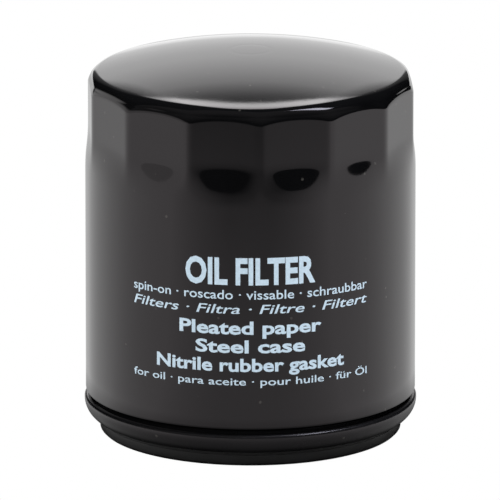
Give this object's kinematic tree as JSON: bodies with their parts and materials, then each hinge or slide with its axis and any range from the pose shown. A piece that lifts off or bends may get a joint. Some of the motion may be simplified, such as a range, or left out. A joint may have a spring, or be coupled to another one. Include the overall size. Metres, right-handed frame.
{
  "type": "oil filter",
  "caption": "Spin-on engine oil filter: domed steel can with wrench flats, rubber gasket, threaded base plate and sprung pleated element with bypass and drain-back valves.",
  "frame": {"origin": "centre of the gasket's sealing face, which is also the bottom centre of the object's box", "axes": "+Z along the can's axis from the gasket to the dome; -Y is the front, the side that carries the print"},
  "size_m": [0.0766, 0.0766, 0.0897],
  "materials": {
    "can": "gloss black baked paint",
    "seaming_lid": "satin black baked paint",
    "seam_sealant": "cured sealing compound",
    "base_plate": "oiled pressed steel",
    "gasket": "moulded nitrile rubber",
    "anti_drainback_valve": "moulded silicone rubber",
    "end_cap": "tin-plated sheet",
    "adhesive": "cured plastisol",
    "filter_media": "resin-treated pleated paper",
    "media_clip": "plain strip",
    "center_tube": "tin-plated sheet, pierced",
    "bypass_steel": "stamped sheet",
    "bypass_seal": "nitrile rubber",
    "bypass_rivet": "plated rivet",
    "spring": "oil-tempered wire"
  },
  "bodies": {
    "housing": {"can": "can", "seaming_lid": "seaming_lid", "seam_sealant": "seam_sealant", "base_plate": "base_plate", "gasket": "gasket"},
    "drainback_valve": {"anti_drainback_valve": "anti_drainback_valve"},
    "element": {"lower_end_cap": "end_cap", "lower_adhesive": "adhesive", "filter_media": "filter_media", "media_clip": "media_clip", "center_tube": "center_tube", "upper_adhesive": "adhesive", "upper_end_cap": "end_cap", "bypass_seat": "bypass_steel", "bypass_cage": "bypass_steel", "bypass_spring": "spring", "element_spring": "spring"},
    "bypass_valve": {"bypass_disc": "bypass_steel", "bypass_seal": "bypass_seal", "bypass_rivet": "bypass_rivet"}
  },
  "joints": [
    {"name": "element_float", "type": "slide", "parent": "housing", "child": "element", "axis": [0, 0, 1], "range_m": [0, 0.0015], "stiffness_N_per_m": 4000, "springref_m": -0.0075, "deforming": ["element_spring"]},
    {"name": "bypass_open", "type": "slide", "parent": "element", "child": "bypass_valve", "axis": [0, 0, -1], "range_m": [0, 0.0025], "stiffness_N_per_m": 1200, "springref_m": -0.01, "deforming": ["bypass_spring"]},
    {"name": "drainback_lift", "type": "slide", "parent": "housing", "child": "drainback_valve", "axis": [0, 0, 1], "range_m": [0, 0.001], "stiffness_N_per_m": 100, "springref_m": -0.002}
  ]
}
